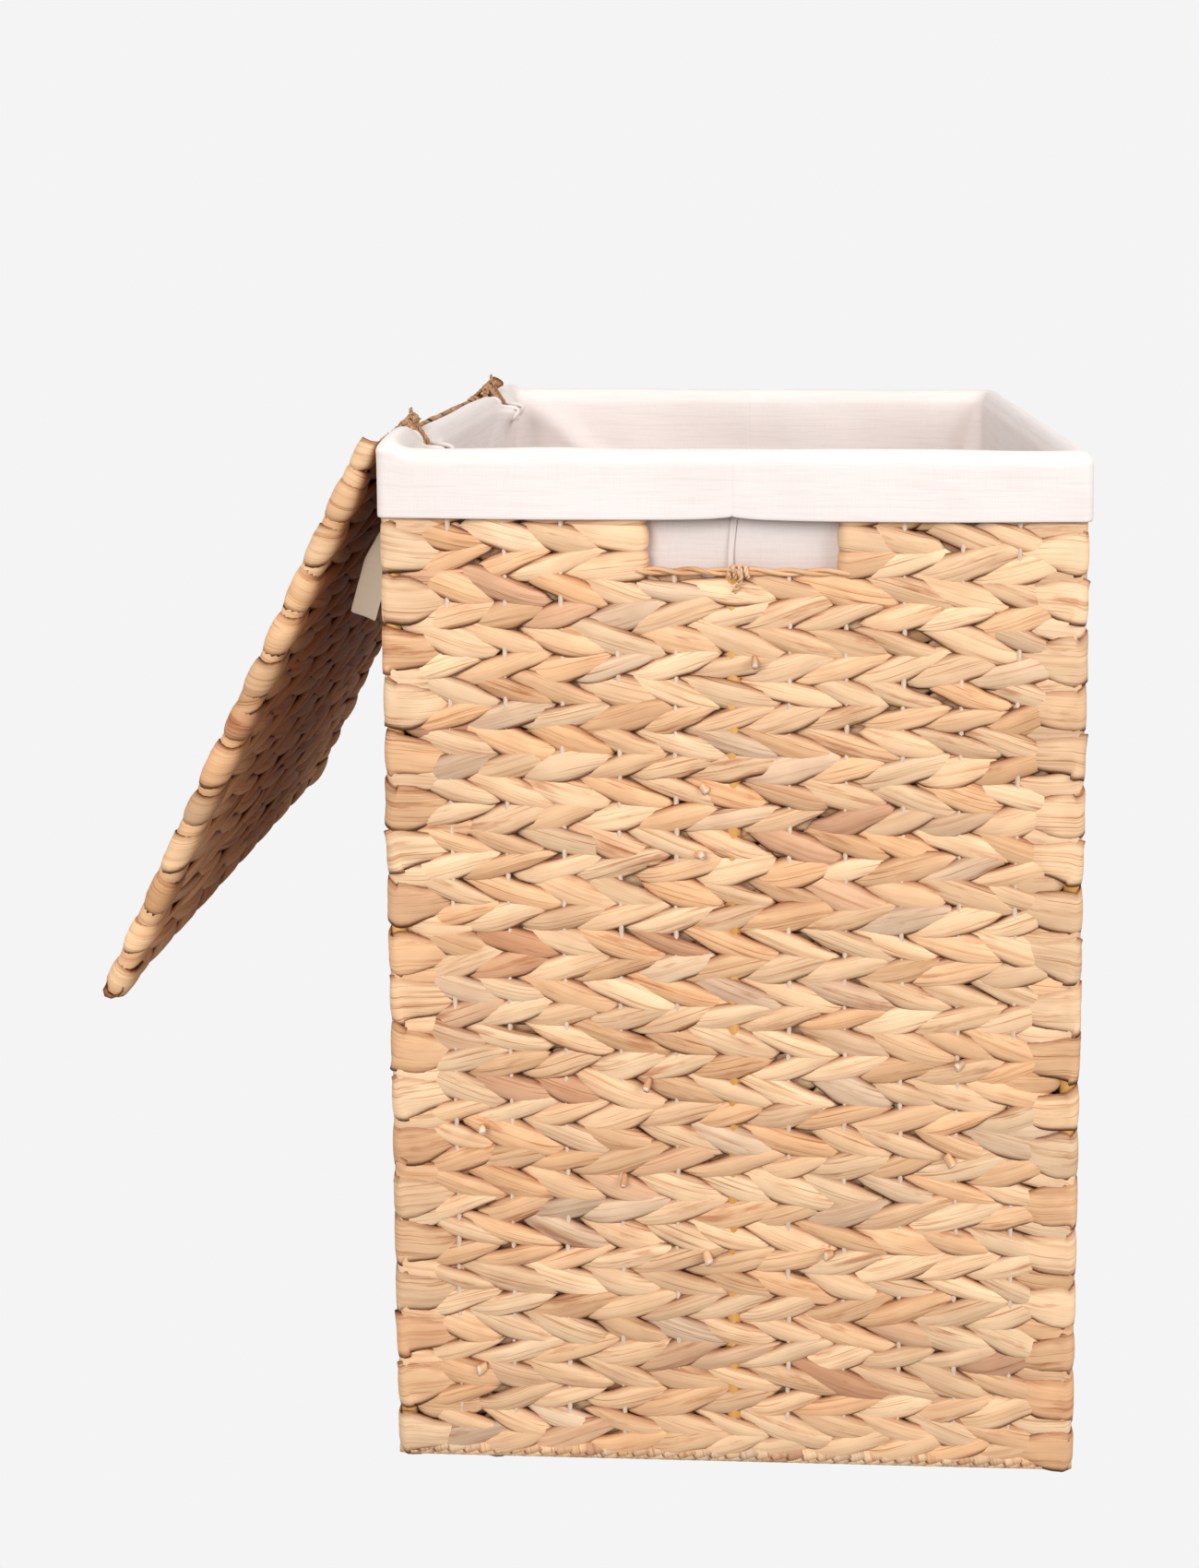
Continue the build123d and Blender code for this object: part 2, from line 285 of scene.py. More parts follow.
def cloth_material(name, light, shade, thread=1.0, inner=WHITE):
    """Cotton with an uneven plain weave; inner is painted shade, a darker tint on what lies past the fold
    over the rim.
    """
    material, tree, shader = new_material(name, 0.9, 0.15)
    place = attribute(tree, "own_place", "Vector")
    weft = noise_of(tree, place, (60, 1900, 1), 2, 0.5)
    warp = noise_of(tree, place, (1900, 60, 1), 2, 0.5)
    slub = noise_of(tree, place, (22, 420, 1), 2, 0.5)
    cloud = noise_of(tree, place, (7, 7, 7), 2, 0.5)
    woven = mix(tree, 0.5, weft, warp)
    tint = ramp(tree, cloud, [(0.3, shade), (0.7, light)])
    lines = ramp(tree, woven, [(0.34, (0.955, 0.95, 0.945, 1)), (0.55, WHITE)])
    streak = ramp(tree, slub, [(0.32, (0.965, 0.955, 0.945, 1)), (0.5, WHITE)])
    parts = add(tree, "ShaderNodeSeparateXYZ")
    tree.links.new(place, parts.inputs["Vector"])
    # painted shade: the cloth is tinted darker past the fold over the rim, inside the bag
    inside = ramp(tree, parts.outputs["Y"], [(0.046, WHITE), (0.075, inner)])
    colour = multiplied(tree, tint, (thread, lines), (thread, streak), (1.0, inside))
    tree.links.new(colour, shader.inputs["Base Color"])
    shader.inputs["Sheen Weight"].default_value = 0.12
    first = bump(tree, shader, woven, 0.35 * thread, 0.0003)
    bump(tree, shader, slub, 0.3 * thread, 0.0005, first)
    return material


def solid_material(name, light, dark, stretch, roughness=0.6, relief=0.3):
    """A round cane, cord or slat: streaks along it, read from the object's own coordinates."""
    material, tree, shader = new_material(name, roughness, 0.35)
    coordinates = add(tree, "ShaderNodeTexCoord").outputs["Object"]
    streak = noise_of(tree, coordinates, stretch, 4, 0.6)
    colour = ramp(tree, streak, [(0.32, dark), (0.66, light)])
    tree.links.new(colour, shader.inputs["Base Color"])
    bump(tree, shader, streak, relief, 0.0006)
    return material


# ---- strands: closed bands in one mesh

# Cross-sections, as (place across, height): a flat strand with a crowned top, and a round one
CROWNED = np.array([(s, 1 - abs(s) ** 2.6) for s in (-1.0, -0.78, -0.42, 0.0, 0.42, 0.78, 1.0)]
                   + [(s, s * s - 1) for s in (0.55, 0.0, -0.55)])
ROUND = np.array([(math.cos(a), math.sin(a)) for a in math.pi - np.arange(8) * math.pi / 4])
RANDOM = random.Random(7)


def spread(low, high):
    """A random number between two."""
    return RANDOM.uniform(low, high)


def unit(vectors):
    """A vector, or each of several, scaled to length one."""
    return vectors / np.linalg.norm(vectors, axis=-1, keepdims=True)


def distances(path):
    """How far along a path each of its points lies."""
    return np.concatenate(((0,), np.cumsum(np.linalg.norm(np.diff(path, axis=0), axis=1))))


def store(mesh, name, kind, field, values):
    """Keeps a value for every point of a mesh, for its material to read."""
    mesh.attributes.new(name, kind, "POINT").data.foreach_set(field, np.array(values, np.float32).ravel())


class Strands:
    """Closed bands gathered into one mesh, each with its own coordinates and tone."""

    def __init__(self):
        self.points = []
        self.faces = []
        self.places = []
        self.tones = []
        self.edges = []
        self.count = 0

    def band(self, path, out, across, up, down, tone, section=CROWNED):
        """A closed band along a path: out is its upper side, across half its width, up and down its rise."""
        path = np.asarray(path, float)
        steps, around = len(path), len(section)
        out = np.broadcast_to(np.asarray(out, float), (steps, 3))
        across, up, down = (np.broadcast_to(value, steps)[:, None] for value in (across, up, down))
        ahead = unit(np.gradient(path, axis=0))
        side = unit(np.cross(out, ahead))
        out = np.cross(ahead, side)
        wide = across * section[:, 0]
        high = np.where(section[:, 1] > 0, up * section[:, 1], down * section[:, 1])
        found = path[:, None] + side[:, None] * wide[:, :, None] + out[:, None] * high[:, :, None]
        index = self.count + np.arange(steps * around).reshape(steps, around)
        after = np.roll(index, -1, axis=1)
        quads = np.stack((index[:-1], index[1:], after[1:], after[:-1]), axis=-1)
        self.points.append(found.reshape(-1, 3))
        self.faces += quads.reshape(-1, 4).tolist()
        self.faces += [index[0].tolist(), index[-1][::-1].tolist()]
        place = np.zeros((steps, around, 3))
        place[:, :, 0] = distances(path)[:, None] + spread(0, 40)
        place[:, :, 1] = wide + spread(0, 3)
        place[:, :, 2] = spread(0, 60)
        self.places.append(place.reshape(-1, 3))
        self.tones.append(np.broadcast_to(tone, (steps * around, 4)))
        self.edges.append(np.tile(np.abs(section[:, 0]) if section is CROWNED else np.zeros(around), steps))
        self.count += steps * around

    def finish(self, name, material, body, slot, nodes=()):
        """Makes the mesh object and puts it on its body, in place of the CAD nodes."""
        mesh = bpy.data.meshes.new(name)
        mesh.from_pydata(np.concatenate(self.points), [], self.faces)
        store(mesh, "own_place", "FLOAT_VECTOR", "vector", np.concatenate(self.places))
        store(mesh, "strand_tone", "FLOAT_COLOR", "color", np.concatenate(self.tones))
        store(mesh, "strand_edge", "FLOAT", "value", np.concatenate(self.edges))
        mesh.shade_smooth()
        mesh.materials.append(material)
        return placed(name, mesh, body, nodes)


def placed(name, mesh, body, nodes=()):
    """An object for a mesh, riding on its body in place of the CAD nodes."""
    piece = bpy.data.objects.new(name, mesh)
    bpy.context.scene.collection.objects.link(piece)
    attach(piece, body)
    if nodes:
        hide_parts(*nodes)
    return piece


# Tones of strands, twine and cut ends; tints: painted shade on the open lid, the lid's edge wraps, painted
# shade at the lid's hinge end, and painted shade on the bag's inside
LIGHT_TONE = np.array(srgb(252, 217, 178))
MID_TONE = np.array(srgb(238, 188, 142))
PINK_TONE = np.array(srgb(206, 150, 118))
RED_TONE = np.array(srgb(178, 112, 84))
GREY_TONE = np.array(srgb(218, 192, 168))
TWINE_TONE = np.array(srgb(184, 148, 112))
PALE_TONE = np.array(srgb(250, 243, 238))
CUT_TONE = np.array(srgb(250, 226, 208))
# painted shade on the open lid's strands where the basket's wall is close
PAINTED_LID_SHADE = (0.36, 0.21, 0.11, 1)
EDGE_TINT = np.array((1.0, 0.95, 0.88, 1))
# painted shade of the narrow gap by the rim, on the lid's hinge end
HINGE_END_SHADE = np.array((0.62, 0.52, 0.44, 1))
# painted shade on the inside of the bag
INSIDE_PAINTED_SHADE = (0.94, 0.925, 0.92, 1)


def strand_tone(tint=1.0, variety=1.0):
    """The tone of one strand: mostly light straw, some red, pink or grey; a low variety keeps it straw."""
    tone = LIGHT_TONE + (MID_TONE - LIGHT_TONE) * RANDOM.random() ** 1.3
    chance = RANDOM.random()
    if chance < 0.02:
        tone = tone + (RED_TONE - tone) * spread(0.3, 0.7) * variety
    elif chance < 0.08:
        tone = tone + (PINK_TONE - tone) * spread(0.2, 0.75) * variety
    elif chance < 0.16:
        tone = tone + (GREY_TONE - tone) * spread(0.3, 0.7) * variety
    tone = tone * tint * spread(0.82, 1.04)
    tone[3] = 1
    return tone


def leaf(strands, origin, right, up, out, slant, length, width, lift, dive, steps=15, tint=1.0):
    """One strand over one warp: its left end dives under the one before, its right tip lies on the next."""
    t = np.linspace(-1, 1, steps)
    bow = spread(-1.0, 1.0) * MM
    rise = math.sin(slant) * length * 0.43
    fall = np.where(t < 0, dive * np.abs(t) ** 2.2, 0.9 * MM * t ** 2 + 2.2 * MM * t ** 10)
    path = (origin + np.outer(t * length * 0.49, right)
            + np.outer(rise * np.sin(t * 1.45) + bow * (1 - t * t), up) + np.outer(lift - fall, out))
    half = width / 2 * np.maximum(np.cos(t * math.pi / 2), 0) ** spread(0.42, 0.62) + 0.25 * MM
    half *= 1 + 0.07 * np.sin(t * spread(3, 9) + spread(0, 6)) + spread(-0.16, 0.16) * t
    crown = 2.3 * MM * (1 - 0.55 * t * t) * spread(0.8, 1.15)
    strands.band(path, out + up * spread(-0.16, 0.16), half, crown, 0.8 * MM, strand_tone(tint))


def woven_row(strands, places, slant, origin, right, up, out, lift, inner=True, longest=70):
    """One row: a leaf over every warp on the outer side and, if inner, one turned over on the other side."""
    for place in places:
        spot = origin + right * (place + spread(-4, 4) * MM) + up * spread(-1.0, 1.0) * MM
        leaf(strands, spot, right, up, out, slant + spread(-0.08, 0.08),
             spread(50, longest) * MM, spread(12.5, 19.5) * MM, lift, 4.4 * MM)
        if inner:
            leaf(strands, spot, right, up, -out, -slant, 50 * MM, 18 * MM, 2.8 * MM, 4.2 * MM, 7, 0.8)


def row_level(row):
    """Height of a row's middle."""
    return max(WEAVE_TOP - ROW_PITCH * (row + 0.5), LOWEST_ROW)


def row_slant(row):
    """Every other row leans the other way."""
    return SLANT if row % 2 else -SLANT


def row_fit(row):
    """Lift and greatest length, in mm, of a row's strands: they are flatter and shorter under the cuff."""
    return (2.5 if row < 2 else 3.3) * MM, 57 if row < 3 else 70


def around_edge(centre, inward, out, radius, reach, steps=6, turn=7):
    """A path from one side of a panel round its edge to the other side, with its outward directions."""
    path, face = [], []
    for d in np.linspace(reach, 0, steps, endpoint=False):
        path.append(centre + inward * d + out * radius * (1 - 1.05 * (d / reach) ** 2))
        face.append(out)
    for a in np.linspace(0, math.pi, turn):
        direction = out * math.cos(a) - inward * math.sin(a)
        path.append(centre + direction * radius)
        face.append(direction)
    for d in np.linspace(0, reach, steps + 1)[1:]:
        path.append(centre + inward * d - out * radius * (1 - 1.05 * (d / reach) ** 2))
        face.append(-out)
    return np.array(path), np.array(face)


def edge_wrap(strands, centre, inward, out, along, radius, reach, width, shift, thick, tint):
    """A strand that loops round a panel's edge, shifted along it between its two ends."""
    path, face = around_edge(centre, inward, out, radius, reach)
    way = np.linspace(-1, 1, len(path))
    path += np.outer(shift * way + 0.5 * MM * np.sin(way * 6 + spread(0, 6)), along)
    half = width / 2 * (0.5 + 0.5 * np.cos(way * 1.4)) * (1 + 0.05 * np.sin(way * spread(6, 12)))
    half[[0, -1]] = 0.6 * MM
    strands.band(path, face, half, thick, 0.7 * MM, strand_tone(tint, 0.4))


def turned_strand(strands, centre, inward, out, up, reach, width, lean):
    """A strand of a row that turns back round the side of an opening; lean lifts its far end."""
    path, face = around_edge(centre, inward, out, 4.4 * MM, reach, steps=11, turn=7)
    gone = np.concatenate((np.linspace(1, 0, 11, endpoint=False), np.zeros(7), np.linspace(0, 1, 12)[1:]))
    way = np.linspace(-1, 1, len(path))
    path += np.outer(lean * gone * np.sign(-way) + spread(-0.8, 0.8) * MM, up)
    half = width / 2 * np.maximum(1 - gone ** 2.5, 0.0) ** 0.6 + 0.4 * MM
    half *= 1 - 0.12 * np.exp(-(way / 0.12) ** 2)
    strands.band(path, face, half, 2.0 * MM, 0.8 * MM, strand_tone())


def corner_path(corner, first, second, reach, lift):
    """A path along one face, round a post and along the other face: points, directions, distances."""
    path, face, gone = [], [], []

    def straight(side, distances):
        for d in distances:
            sink = 5.5 * MM * max(0, (d - 14 * MM) / (reach - 14 * MM)) ** 1.6
            path.append(corner - side[0] * d + side[1] * (lift - sink))
            face.append(side[1])
            gone.append(d)

    straight(first, np.linspace(reach, 2 * MM, 9))
    for a in np.linspace(0, math.pi / 2, 7):
        direction = first[1] * math.cos(a) + second[1] * math.sin(a)
        path.append(corner + direction * (lift + 0.4 * MM))
        face.append(direction)
        gone.append(0)
    straight(second, np.linspace(2 * MM, reach, 9))
    return np.array(path), np.array(face), np.array(gone)


def corner_wrap(strands, corner, first, second, level, width, lift=4.9 * MM, reach=36 * MM):
    """A broad strand round a corner post: narrow at the first warp of either face, wide at the corner."""
    path, face, gone = corner_path(corner, first, second, reach, lift)
    phase = spread(0, 6)
    way = np.linspace(-1, 1, len(path))
    path[:, 2] += level + spread(-4, 4) * MM * way + 1.0 * MM * np.sin(way * 5 + phase)
    half = width / 2 * (0.42 + 0.58 * np.exp(-(gone / (23 * MM)) ** 2))
    half *= 1 + 0.08 * np.sin(way * spread(6, 12) + phase)
    half[[0, -1]] = 0.6 * MM
    strands.band(path, face, half, 1.4 * MM, 0.6 * MM, strand_tone(1.0, 0.35))


# ---- the basket's woven faces

def long_face(face, sign, material):
    """Front (1) or rear (-1) face, with the hand hole and the strands turned round its sides."""
    strands = Strands()
    out = -Y_AXIS * sign
    origin = np.array((0, -sign * POST_Y, 0))
    by_hole = [x for x in LONG_WARPS if HOLE_LOW_X - 20 * MM < x < HOLE_HIGH_X + 20 * MM]
    under_hole = [x for x in LONG_WARPS if HOLE_LOW_X - 10 * MM < x < HOLE_HIGH_X + 10 * MM]
    for row in range(ROWS):
        level = origin + Z_AXIS * row_level(row)
        lift, longest = row_fit(row)
        warps = LONG_WARPS
        if row < HOLE_ROWS:
            warps = [x for x in warps if x not in by_hole]
        elif row == HOLE_ROWS:
            warps = [x for x in warps if x not in under_hole]
            woven_row(strands, under_hole, 0.6 * row_slant(row), level, X_AXIS, Z_AXIS, out, lift)
        woven_row(strands, warps, row_slant(row), level, X_AXIS, Z_AXIS, out, lift, longest=longest)
        if row < HOLE_ROWS:
            for x, inward, reach in ((HOLE_LOW_X, -X_AXIS, 46 * MM), (HOLE_HIGH_X, X_AXIS, 36 * MM)):
                side = level + X_AXIS * x + inward * 6.2 * MM
                lean = row_slant(row) * (inward[0] * 24 * MM)
                turned_strand(strands, side, inward, out, Z_AXIS, reach, 18.5 * MM, lean)
    return strands.finish(f"{face}_face_strands", material, "basket", "hyacinth", [f"weave_{face}"])


def short_face(face, sign, material):
    """Left (-1) or right (1) face."""
    strands = Strands()
    out = X_AXIS * sign
    origin = np.array((sign * POST_X, 0, 0))
    for row in range(ROWS):
        level = origin + Z_AXIS * row_level(row)
        lift, longest = row_fit(row)
        woven_row(strands, SHORT_WARPS, -sign * row_slant(row), level, -sign * Y_AXIS, Z_AXIS, out, lift,
                  longest=longest)
    return strands.finish(f"{face}_face_strands", material, "basket", "hyacinth", [f"weave_{face}"])


def corner_wraps(material):
    """The broad strands round the four corner posts, one for every two rows, and what shows between them.

    Between two of them lies a narrower strand round the post, or a short strand on either face that leaves
    the post bare. The topmost wrap is narrow and flat, to stay under the cuff.
    """
    strands = Strands()
    for side_x in (-1, 1):
        for side_y in (-1, 1):
            corner = np.array((side_x * POST_X, side_y * POST_Y, 0))
            first = (X_AXIS * side_x, Y_AXIS * side_y)
            second = (Y_AXIS * side_y, X_AXIS * side_x)
            for pair in range(20):
                between = row_level(2 * pair + 1.5) if pair < 19 else row_level(39)
                if RANDOM.random() < 0.6:
                    corner_wrap(strands, corner, first, second, between, 20 * MM, 3.9 * MM, 40 * MM)
                else:
                    for side, out in (first, second):
                        spot = corner - side * 25 * MM + Z_AXIS * between
                        leaf(strands, spot, side, Z_AXIS, out, 0, 44 * MM, 20 * MM, 2.6 * MM, 2 * MM)
                level = row_level(2 * pair + 0.5) + spread(-1.5, 1.5) * MM
                width = spread(25, 31) * MM
                if pair == 0:
                    corner_wrap(strands, corner, first, second, level - 2.5 * MM, 19 * MM, 2.0 * MM)
                else:
                    corner_wrap(strands, corner, first, second, level, width)
    return strands.finish("corner_wraps", material, "basket", "hyacinth")


def warp_cords(material):
    """The thin cords that the rows are twined on; the long faces have a cane in place of the middle one."""
    for face, out, right, reach, _ in FACES:
        is_long = reach == POST_Y
        cords = Strands()
        for place in (LONG_WARPS[:5] + LONG_WARPS[6:] if is_long else SHORT_WARPS):
            cut = is_long and HOLE_LOW_X < place < HOLE_HIGH_X
            z = np.linspace(CORD_BOTTOM, CORD_UNDER_HOLE if cut else CORD_TOP, 110)
            sway = place + 0.35 * MM * np.sin(z * 61 + place * 90)
            path = out * (reach + 3.0 * MM) + np.outer(sway, right) + np.outer(z, Z_AXIS)
            thick = 1.45 * MM * (1 + 0.07 * np.sin(z * 900))
            cords.band(path, out, thick, thick, thick, PALE_TONE, ROUND)
        cords.finish(f"cords_{face}", material, "basket", "warp_cord", [f"warp_cords_{face}"])


def cut_stubs(material):
    """The cut ends of strands that stick out of the weave here and there."""
    stubs = Strands()
    for _, out, right, reach, half in FACES:
        for _ in range(11):
            spot = (out * (reach + 4.6 * MM) + right * spread(-half * 0.85, half * 0.85)
                    + Z_AXIS * row_level(RANDOM.randrange(5, 37)) + Z_AXIS * spread(5, 9) * MM)
            aim = unit(out * 0.75 + right * spread(-0.9, 0.9) + Z_AXIS * spread(-0.7, 0.4))
            radius = spread(2.4, 3.3) * MM
            length = spread(4.5, 6.5) * MM
            t = np.linspace(0, 1, 6)
            path = spot + np.outer(t * length, aim)
            side = np.cross(aim, Z_AXIS)
            wide = radius * (0.8 + 0.25 * t)
            stubs.band(path, side, wide, wide * 0.8, wide * 0.8, strand_tone(0.85), ROUND)
            tip = path[-1] + np.outer((-0.2 * MM, 0.35 * MM), aim)
            stubs.band(tip, side, wide[-1] * 0.82, wide[-1] * 0.62, wide[-1] * 0.62, CUT_TONE, ROUND)
    return stubs.finish("cut_ends", material, "basket", "hyacinth")


def winding(strands, start, end, radius, pitch, half, tone):
    """A flat strand wound in a helix round a straight rod."""
    length = np.linalg.norm(end - start)
    axis = (end - start) / length
    first = unit(np.cross(axis, Z_AXIS))
    second = np.cross(axis, first)
    turns = length / pitch
    t = np.linspace(0, 1, int(turns * 12) + 2)
    angle = t * turns * 2 * math.pi
    face = np.outer(np.cos(angle), first) + np.outer(np.sin(angle), second)
    wobble = radius * (1 + 0.04 * np.sin(angle * 0.37))
    path = start + np.outer(t * length, axis) + face * wobble[:, None]
    strands.band(path, face, half, 0.7 * MM, 0.3 * MM, tone)


def base_binding(material):
    """Flat strands wound round the base rods, short of the corners."""
    strands = Strands()
    for along, out, half, reach in ((X_AXIS, -Y_AXIS, POST_X, POST_Y), (Y_AXIS, X_AXIS, POST_Y, POST_X),
                                    (-X_AXIS, Y_AXIS, POST_X, POST_Y), (-Y_AXIS, -X_AXIS, POST_Y, POST_X)):
        middle = out * reach + Z_AXIS * BASE_ROD
        start = middle - along * (half - 2 * MM)
        end = middle + along * (half - 2 * MM)
        turns = int(np.linalg.norm(end - start) / (9 * MM))
        for i in range(turns):
            a, b = start + (end - start) * (i - 0.1) / turns, start + (end - start) * (i + 1.1) / turns
            half_width = spread(5.2, 6.4) * MM
            winding(strands, a, b, 4.7 * MM, 11 * MM, half_width, strand_tone(0.86))
    return strands.finish("base_binding", material, "basket", "hyacinth")


def hole_sill(face, sign, material):
    """The twisted strands along the bottom of a hand hole, with a coil and a loose end at the middle post."""
    strands = Strands()
    out = -sign * Y_AXIS
    centre = np.array((0, -sign * POST_Y, SILL_Z - 1.6 * MM)) + out * 4 * MM
    places = np.linspace(HOLE_LOW_X - 7 * MM, HOLE_HIGH_X + 7 * MM, 12)
    twine(strands, [centre + X_AXIS * x + Z_AXIS * spread(-0.3, 0.3) * MM for x in places], 2.5 * MM,
          strand_tone(0.96), 15)
    knot = coil(centre + X_AXIS * 4 * MM, X_AXIS, 3.1 * MM, 12 * MM, 3.5)
    twine(strands, knot, 1.4 * MM, strand_tone(0.9))
    drop = np.array([(1, 3.2, 2), (5, 4.6, -1), (4, 4.0, -6), (1, 2.4, -11)]) * MM
    loose_end = [centre + X_AXIS * a + out * b + Z_AXIS * c for a, b, c in drop]
    twine(strands, loose_end, 1.5 * MM, strand_tone(0.9))
    return strands.finish(f"{face}_hole_sill", material, "basket", "hyacinth", [f"handle_sill_{face}"])


def base_panel(material):
    """The woven mat under the liner's floor."""
    strands = Strands()
    for row in range(18):
        level = np.array((0, (row - 8.5) * 15.1 * MM, 10 * MM))
        for x in LONG_WARPS:
            spot = level + X_AXIS * (x + spread(-1, 1) * MM)
            for out, tint, steps in ((-Z_AXIS, 1.0, 9), (Z_AXIS, 0.9, 6)):
                leaf(strands, spot, X_AXIS, Y_AXIS, out, row_slant(row), spread(42, 46) * MM,
                     spread(14, 16) * MM, 1.0 * MM, 1.8 * MM, steps, tint)
    return strands.finish("base_panel", material, "basket", "hyacinth", ["base_mat"])


# ---- the lid

def on_lid(x, y):
    """A point in the middle of the hanging lid's thickness: x along it from the ties, y across."""
    return LID_ORIGIN + LID_ALONG * x + Y_AXIS * y


def lid_weave(material):
    """The lid's rows on both faces, the broad strands round its sides and free end, and its hinge end."""
    strands = Strands()
    pitch = (LID_LENGTH - 30 * MM) / LID_ROWS
    for row in range(LID_ROWS):
        origin = on_lid(15 * MM + (row + 0.5) * pitch, 0)
        slant = row_slant(row)
        woven_row(strands, LID_WARPS, slant, origin, Y_AXIS, -LID_ALONG, LID_OUT, 3.4 * MM, False)
        woven_row(strands, LID_WARPS, -slant, origin, Y_AXIS, -LID_ALONG, -LID_OUT, 3.4 * MM, False)
    for side in (-1, 1):
        for i in range(LID_WRAPS):
            x = 1 * MM + (LID_LENGTH - 6 * MM) * (i + 0.5) / LID_WRAPS
            fat = min(1, 0.72 + x / (90 * MM))
            if i % 2 == 0:
                radius, reach, width, thick = spread(5.5, 6.6) * fat, 26, spread(18, 30), 2.3
            else:
                radius, reach, width, thick = spread(4.6, 5.8) * fat, 20, spread(11, 20), 1.7
            shift = spread(-6, 14)
            edge_wrap(strands, on_lid(x, side * LID_EDGE_Y), -side * Y_AXIS, LID_OUT, LID_ALONG, radius * MM,
                      reach * MM, width * MM, shift * MM, thick * MM, EDGE_TINT * spread(0.84, 1.04))
    # the hinge end's wraps and bare rod take a darker tint: painted shade of the narrow gap by the rim
    for x, inward, half, count, radius, thick, tint in ((7.5, LID_ALONG, 138, 22, 2.7, 0.8, HINGE_END_SHADE),
                                                        (358.5, -LID_ALONG, 146, 10, 5.0, 1.7, 1.0)):
        step = 2 * half / count
        for i in range(count):
            y = -half + step * (i + 0.5)
            edge_wrap(strands, on_lid(x * MM, y * MM), inward, LID_OUT, Y_AXIS, radius * MM, 19 * MM,
                      (step + 5) * MM, spread(-3, 3) * MM, thick * MM, tint)
    bare = [on_lid(7.5 * MM, y * MM) for y in np.linspace(-138, 138, 24)]
    strands.band(bare, LID_OUT, 2.6 * MM, 2.6 * MM, 2.6 * MM, strand_tone(HINGE_END_SHADE), ROUND)
    return strands.finish("lid_strands", material, "lid", "hyacinth", ["lid_weave", "lid_rod_hinge_end"])


# ---- twine

def curve_through(points, step):
    """A smooth path through points (Catmull-Rom), with points about a step apart."""
    points = np.asarray(points, float)
    padded = np.concatenate((2 * points[:1] - points[1:2], points, 2 * points[-1:] - points[-2:-1]))
    found = []
    for a, b, c, d in zip(padded, padded[1:], padded[2:], padded[3:]):
        for t in np.linspace(0, 1, max(2, int(np.linalg.norm(c - b) / step)), endpoint=False):
            found.append(0.5 * (2 * b + (c - a) * t + (2 * a - 5 * b + 4 * c - d) * t ** 2
                                + (3 * b - a - 3 * c + d) * t ** 3))
    found.append(points[-1])
    return np.array(found)


def carried_sides(path):
    """The direction of a path at each point, and a side direction carried along it without twist."""
    ahead = unit(np.gradient(path, axis=0))
    side = np.cross(ahead[0], (0.31, 0.52, 0.79))
    sides = []
    for direction in ahead:
        side = unit(side - direction * np.dot(side, direction))
        sides.append(side)
    return ahead, np.array(sides)


def twine(strands, points, thick, tone=None, lay=4.5):
    """Two-ply twine through points; thick is its radius, lay its length of twist in radii."""
    path = curve_through(points, 0.7 * MM)
    ahead, side = carried_sides(path)
    other = np.cross(ahead, side)
    turned = 2 * math.pi * distances(path) / (thick * lay)
    shade = spread(0.8, 1.15)
    for ply in (0, math.pi):
        face = np.cos(turned + ply)[:, None] * side + np.sin(turned + ply)[:, None] * other
        own = TWINE_TONE * shade * spread(0.85, 1.1) if tone is None else tone * spread(0.94, 1.04)
        strands.band(path + face * thick * 0.5, face, thick * 0.58, thick * 0.5, thick * 0.5, own, ROUND)


def coil(centre, axis, radius, length, turns, start=0.0):
    """Points of a slightly uneven coil round an axis."""
    per_turn = 9
    first = unit(np.cross(axis, (0.6, 0.1, 0.8)))
    second = np.cross(axis, first)
    found = []
    for i in range(int(turns * per_turn) + 1):
        t = i / (turns * per_turn)
        angle = start + 2 * math.pi * turns * t
        r = radius + spread(-0.35 * MM, 0.35 * MM)
        around = first * r * math.cos(angle) + second * r * math.sin(angle)
        found.append(centre + axis * length * (t - 0.5) + around)
    return found


def belt(first, second, first_radius, second_radius, length, turns):
    """Points of a belt that goes several times round two places, drifting along Y as it goes."""
    ahead = unit(second - first)
    across = np.cross(ahead, Y_AXIS)
    found = []
    bends = [(first, first_radius, a) for a in (100, 140, 180, 220, 260)]
    bends += [(second, second_radius, a) for a in (280, 320, 360, 400, 440)]
    count = int(turns * len(bends))
    for i in range(count + 1):
        centre, radius, angle = bends[i % len(bends)]
        r = radius + spread(-0.3, 0.4) * MM
        turn = ahead * math.cos(math.radians(angle)) + across * math.sin(math.radians(angle))
        found.append(centre + turn * r + Y_AXIS * length * (i / count - 0.5))
    return found


